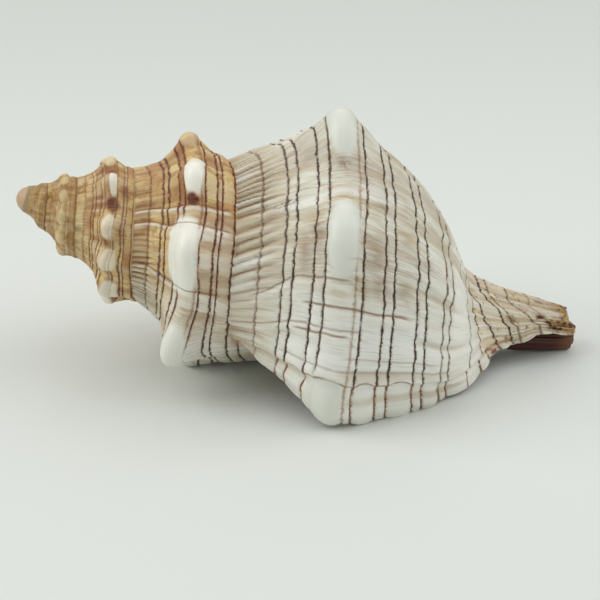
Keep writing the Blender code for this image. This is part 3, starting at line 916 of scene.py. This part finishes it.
def shell_material():
    """Colour, roughness and bump of the shell, from the values that its mesh holds."""
    n = Nodes("shell")
    mix, ramp, times, plus, minus, but, most, size = (
        n.mix, n.ramp, n.times, n.plus, n.minus, n.but, n.most, n.size)
    grown, station, angle = n.values("wall")
    distance, strength, orange = n.values("line")
    cap, spot, stain = n.values("spots")
    inside, reach, phase = n.values("zone")
    step, ridge, rib = n.value("step"), n.value("ridge"), n.value("rib")
    coords = n.place()

    def tint(colour, tone, value, low, high, share=1):
        return mix(ramp(value, low, high, 0, share), colour, tone)

    def plane_noise(around, across, third, detail=3, rough=0.6):
        place = n.vector(times(grown, around), times(station, across), third)
        return n.noise(place, 1, detail, rough)

    streaks = plane_noise(0.2, 3, rib)
    fine = plane_noise(0.7, 9, times(rib, 0.5))
    threads = plane_noise(1.6, 5, times(rib, 0.3), 2)
    broad = plane_noise(0.05, 2, 4, 2, 0.5)
    speck = n.noise(coords, 1400, 2, 0.6)
    wobble = n.noise(coords, 900, 2, 0.5)
    wave = n.noise(coords, 220, 2, 0.5)
    old = ramp(angle, -355, -285, 1, 0)
    pale = times(ramp(angle, -384, -366), ramp(station, 0.38, 0.5), 0.8)
    spire = times(old, but(pale))
    early = ramp(angle, -790, -600, 1, 0)
    first = ramp(angle, -1180, -860, 1, 0)
    newest = ramp(grown, 31, 35)

    # Body turn: cream white with beige and grey patches
    body = mix(ramp(fine, 0.35, 0.7), hue.cream, hue.beige)
    body = tint(body, hue.warm, streaks, 0.5, 0.7, 0.6)
    body = tint(body, hue.greyish, broad, 0.48, 0.7, 0.4)
    body = mix(ramp(station, 0.05, 0.45, 0.75, 0), body, hue.tan_edge)
    # Painted fill light: the lower front of the body turn is painted whiter
    lower = times(ramp(angle, -8, 20, 0, 0.9), ramp(station, 0.25, 0.5, 0.3, 1))
    body = mix(lower, body, hue.snow)
    body = mix(times(newest, 0.3), body, hue.new_cream)
    # Spire: tan and orange-brown
    tan = mix(ramp(streaks, 0.35, 0.65), hue.straw, hue.honey)
    tan = tint(tan, hue.sand, fine, 0.5, 0.75, 0.5)
    mottle = plane_noise(0.04, 4, 7, 3, 0.6)
    tan = tint(tan, hue.brown, mottle, 0.52, 0.62, 0.6)
    tan = tint(tan, hue.pale_sand, mottle, 0.44, 0.34, 0.5)
    tone = n.noise(n.vector(times(rib, 3.7), times(grown, 0.012), 2), 1, 1, 0.5)
    tan = tint(tan, hue.rust, tone, 0.5, 0.62, 0.6)
    tan = tint(tan, hue.butter, tone, 0.46, 0.34, 0.6)
    tan = mix(times(first, 0.75), tan, mix(ramp(mottle, 0.45, 0.6), hue.mustard, hue.dark_mustard))
    tan = mix(times(first, ramp(station, 0.84, 0.98, 0, 0.6)), tan, hue.seam)
    pinkish = mix(ramp(streaks, 0.4, 0.6), hue.pink_sand, hue.pink_tan)
    body = mix(times(old, 0.75), body, pinkish)
    colour = mix(spire, body, tan)
    # Neck and canal: beige and yellow-brown
    neck = ramp(station, 1.42, 1.56)
    horn = mix(ramp(streaks, 0.4, 0.65), hue.horn, hue.deep_horn)
    horn = tint(horn, hue.horn_thread, threads, 0.52, 0.7, 0.55)
    horn = tint(horn, hue.horn_pink, wave, 0.56, 0.66, 0.6)
    horn = tint(horn, hue.horn_fleck, wobble, 0.6, 0.68, 0.75)
    horn = tint(horn, hue.horn_end, station, 1.88, 1.98, 0.65)
    colour = mix(neck, colour, horn)
    # Wrinkles beside the suture: brown in their valleys, partly their own colour and partly painted shade,
    # and painted light on their crests
    crest = size(n.math("SINE", times(phase, math.pi)))
    valley = times(ramp(crest, 0.6, 0.05), reach)
    colour = mix(times(valley, ramp(station, 0.03, 0.25, 0.95, 0.45)), colour, hue.valley)
    colour = mix(times(ramp(crest, 0.6, 1), reach, 0.5), colour, hue.crest)
    # Stains and the white band, then painted shade in the grooves between growth threads and painted shade
    # and light on the growth ridges
    band = mix(ramp(broad, 0.4, 0.6), hue.ochre_stain, hue.grey_stain)
    band = mix(spire, band, hue.spire_stain)
    colour = mix(times(stain, ramp(fine, 0.3, 0.6, 0.4, 0.95)), colour, band)
    smooth_band = times(ramp(station, 1.19, 1.25), ramp(station, 1.44, 1.36))
    colour = mix(times(smooth_band, 0.9), colour, hue.white_band)
    # Painted shade where the growth threads' relief is low
    painted_thread_shade = times(ramp(threads, 0.44, 0.3), but(times(newest, 0.6)), but(times(lower, 0.6)), 0.4)
    colour = mix(painted_thread_shade, colour, mix(spire, hue.groove, hue.spire_groove))
    # Painted shade in the growth ridges' valleys and painted light on their crests
    low_ground = mix(spire, hue.low_ground, hue.spire_low)
    ground = plus(ridge, times(wave, 0.4))
    colour = tint(colour, low_ground, ground, 0.1, -0.6, 0.55)
    high_ground = mix(spire, hue.high_ground, hue.spire_high)
    colour = tint(colour, high_ground, ground, 0.35, 0.95, 0.6)
    # White caps of the knobs
    ragged = plus(cap, times(minus(wave, 0.5), 0.55))
    clear = most(ramp(angle, -440, -425, 0.45, 1), ramp(angle, -560, -620))
    white = times(ramp(ragged, 0.12, 0.9), but(times(first, 0.8)), clear)
    white = most(times(white, but(early)), times(ramp(ragged, 0.28, 0.95), early, but(first), 0.96))
    early_knobs = times(ramp(ragged, 0.2, 0.8), ramp(first, 0, 0.2), ramp(angle, -1350, -1200), 0.55)
    white = most(white, early_knobs)
    cap_colour = mix(spire, hue.cap, hue.spire_cap)
    cap_colour = mix(times(old, 0.8), cap_colour, hue.bright_cap)
    cap_colour = tint(cap_colour, hue.tan_cap, angle, -425, -440)
    third_turn = times(ramp(angle, -780, -770), ramp(angle, -600, -620))
    cap_colour = mix(third_turn, cap_colour, hue.cream_cap)
    colour = mix(white, colour, cap_colour)
    colour = tint(colour, hue.apex, angle, -1500, -1640, 0.7)
    # Broken cells at the canal's end
    cells = n.node("TexVoronoi", coords, Scale=CELLS_PER_METRE)
    pocket = times(ramp(station, 1.86, 1.9), ramp(angle, -16, -6), ramp(angle, 42, 34))
    pocket = most(pocket, times(ramp(station, 1.95, 1.985), ramp(angle, -200, -180)))
    colour = mix(times(pocket, 0.9), colour, hue.crust)
    colour = mix(times(pocket, ramp(cells.outputs["Distance"], 0.55, 0.35)), colour, hue.cell)
    dotted = n.math("MINIMUM", times(spot, ramp(wobble, 0.38, 0.55, 0.7, 1.5)), 1)
    specked = times(ramp(station, 0.36, 0.33), ramp(angle, -60, -50))
    dotted = times(dotted, mix(specked, (1, 1, 1), ramp(speck, 0.42, 0.56)))
    ring = times(ramp(spot, 0.05, 0.5), old, 0.7)
    colour = mix(ring, colour, hue.spot_ring)
    colour = mix(dotted, colour, mix(specked, hue.maroon, hue.speck))

    # Growth lines: thin threads everywhere, and single brown creases
    thin = plane_noise(0.9, 1.6, 9, 2)
    crease = ramp(size(minus(thin, 0.5)), 0.035, 0, 0, 0.5)
    crease = times(crease, ramp(broad, 0.42, 0.58), but(white), but(times(lower, 0.5)))
    colour = mix(crease, colour, hue.thread)
    bend = times(minus(wave, 0.5), 1.6)
    deepest = 0
    highest = 0
    for near, beyond, low, high, power in CREASES:
        place = ramp(station, 0.1, 0.4, near, beyond)
        past = plus(minus(grown, place), bend)
        along = times(ramp(station, low - 0.03, low + 0.03), ramp(station, high + 0.03, high - 0.03), power)
        deepest = most(deepest, times(ramp(size(past), 0.75, 0.1), along))
        beyond_it = size(minus(past, 2.3))
        highest = most(highest, times(ramp(beyond_it, 1.7, 0.4), along))
    deepest = times(deepest, ramp(fine, 0.25, 0.5, 0.5, 1))
    colour = mix(times(highest, 0.9), colour, hue.crease_crest)
    colour = mix(deepest, colour, hue.crease)
    edge = times(ramp(size(plus(step, times(bend, 0.3))), 0.75, 0.1), but(inside))
    edge = times(edge, ramp(streaks, 0.35, 0.6, 0.2, 0.8))
    colour = mix(edge, colour, hue.growth_step)

    # Spiral lines
    shift = plus(times(minus(wobble, 0.5), 0.5), times(minus(wave, 0.5), 0.7))
    away = size(plus(distance, shift))
    width = times(ramp(speck, 0.3, 0.7, 0.15, 0.3), but(times(early, 0.3)))
    width = times(width, ramp(threads, 0.3, 0.7, 0.75, 1.25))
    dark = ramp(away, times(width, 1.7), times(width, 0.4))
    gaps = n.noise(n.vector(times(grown, 0.25), times(rib, 3.1), 0), 1, 2, 0.6)
    dark = times(dark, strength, ramp(gaps, 0.3, 0.48, 0.3, 1))
    dark = times(dark, but(times(early, 0.5)), but(times(first, 0.6)), but(times(white, 0.93)))
    halo = times(ramp(away, 0.8, 0.1, 0, 0.5), ramp(fine, 0.4, 0.65), but(white))
    colour = mix(halo, colour, hue.halo)
    ink = mix(most(orange, times(newest, 0.8)), hue.ink, hue.orange_ink)
    ink = mix(times(old, 0.85), ink, hue.spire_ink)
    colour = mix(dark, colour, ink)

    # Inside: glossy pinkish tan with red-brown spiral threads, maroon in the canal
    lip_in = mix(ramp(streaks, 0.4, 0.65), hue.lip, hue.deep_lip)
    ridges = ramp(size(n.math("SINE", times(station, 62))), 0.35, 0.05, 0, 0.6)
    lip_in = mix(times(ridges, ramp(station, 1.6, 1.35)), lip_in, hue.lip_ridge)
    lip_in = tint(lip_in, hue.canal, station, 1.35, 1.7)
    lip_in = tint(lip_in, hue.canal_end, station, 1.94, 1.995, 0.45)
    colour = mix(inside, colour, lip_in)
    rough = ramp(speck, 0.3, 0.7, 0.46, 0.52)
    smooth = most(white, inside)
    rough = minus(rough, times(smooth, 0.18))

    # Bump: growth lines and grain
    height = plus(times(fine, 0.5), times(thin, 0.5), times(threads, 0.35), times(crest, reach, 1.6),
                  times(speck, 0.2))
    height = minus(height, times(most(dark, deepest), 0.6))
    height = times(height, but(times(smooth, 0.97)), but(times(lower, 0.3)))
    bump = n.node("Bump", Strength=BUMP_STRENGTH, Distance=BUMP_DISTANCE, Height=height)
    return n.finish(Base_Color=colour, Roughness=rough, Normal=bump.outputs[0])


shell = build_shell()
shell.data.materials.append(shell_material())
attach(shell, "root")
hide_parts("shell")

# Floor: pale paper, with painted shade that makes it a little darker towards the back
FLOOR_HALF = 4
FLOOR_SHADE_FADE = (0.03, 0.3)
FLOOR_NEAR = (0.79, 0.815, 0.775)
FLOOR_FAR_SHADED = (0.67, 0.695, 0.65)
floor_data = bpy.data.meshes.new("floor")
floor_data.from_pydata([(-FLOOR_HALF, -FLOOR_HALF, 0), (FLOOR_HALF, -FLOOR_HALF, 0),
                        (FLOOR_HALF, FLOOR_HALF, 0), (-FLOOR_HALF, FLOOR_HALF, 0)], [], [(0, 1, 2, 3)])
floor = bpy.data.objects.new("floor", floor_data)
bpy.context.scene.collection.objects.link(floor)
paper = Nodes("floor")
back = paper.node("SeparateXYZ", paper.place()).outputs[1]
paper_colour_and_shade = paper.mix(paper.ramp(back, *FLOOR_SHADE_FADE), FLOOR_NEAR, FLOOR_FAR_SHADED)
floor_data.materials.append(paper.finish(Base_Color=paper_colour_and_shade, Roughness=0.7, Specular_IOR_Level=0.2))

# Light: a pale studio and four soft lamps, as name, place, size in metres and watts
WORLD_COLOUR = (0.97, 1, 0.99, 1)
WORLD_STRENGTH = 0.42
LAMPS = [("left", (-1, 0, 0.9), 1, 7.1), ("right", (1, 0, 0.9), 1, 4.7),
         ("back", (0, 0.9, 1), 1, 2), ("overhead", (0, 0, 1.2), 0.8, 1.6)]
LAMP_AIM = Vector((0, 0, 0.02))
world = bpy.data.worlds.new("studio")
bpy.context.scene.world = world
world.use_nodes = True
background = world.node_tree.nodes["Background"]
background.inputs["Color"].default_value = WORLD_COLOUR
background.inputs["Strength"].default_value = WORLD_STRENGTH
for name, place, size, watts in LAMPS:
    lamp_data = bpy.data.lights.new(name, "AREA")
    lamp_data.shape = "SQUARE"
    lamp_data.size = size
    lamp_data.energy = watts
    lamp = bpy.data.objects.new(name, lamp_data)
    lamp.location = place
    lamp.rotation_euler = (LAMP_AIM - Vector(place)).to_track_quat("-Z", "Y").to_euler()
    bpy.context.scene.collection.objects.link(lamp)

# Camera: it looks along the rest turn's forward axis and sees the apex at its pixel in the photo
PIXELS_PER_MM = 4.442
DEPTH_MM = 562.8
APEX_PIXEL = (16, 196)
PICTURE_CENTRE = 300
turn_to_rest = rest_turn()
camera_data = bpy.data.cameras.new("camera")
camera_data.lens = 150
camera_data.sensor_width = 36
camera_data.clip_start = 0.01
camera = bpy.data.objects.new("camera", camera_data)
across, below = ((pixel - PICTURE_CENTRE) / PIXELS_PER_MM for pixel in APEX_PIXEL)
apex_in_view = Vector((across, below, DEPTH_MM)) * MM
right, down, forward = (Vector(turn_to_rest[:, k]) for k in range(3))
place = APEX_PLACE - (right * apex_in_view.x + down * apex_in_view.y + forward * apex_in_view.z)
rows = [(right[k], -down[k], -forward[k], place[k]) for k in range(3)]
camera.matrix_world = Matrix(rows + [(0, 0, 0, 1)])
bpy.context.scene.collection.objects.link(camera)
bpy.context.scene.camera = camera
bpy.context.scene.view_settings.view_transform = "Standard"
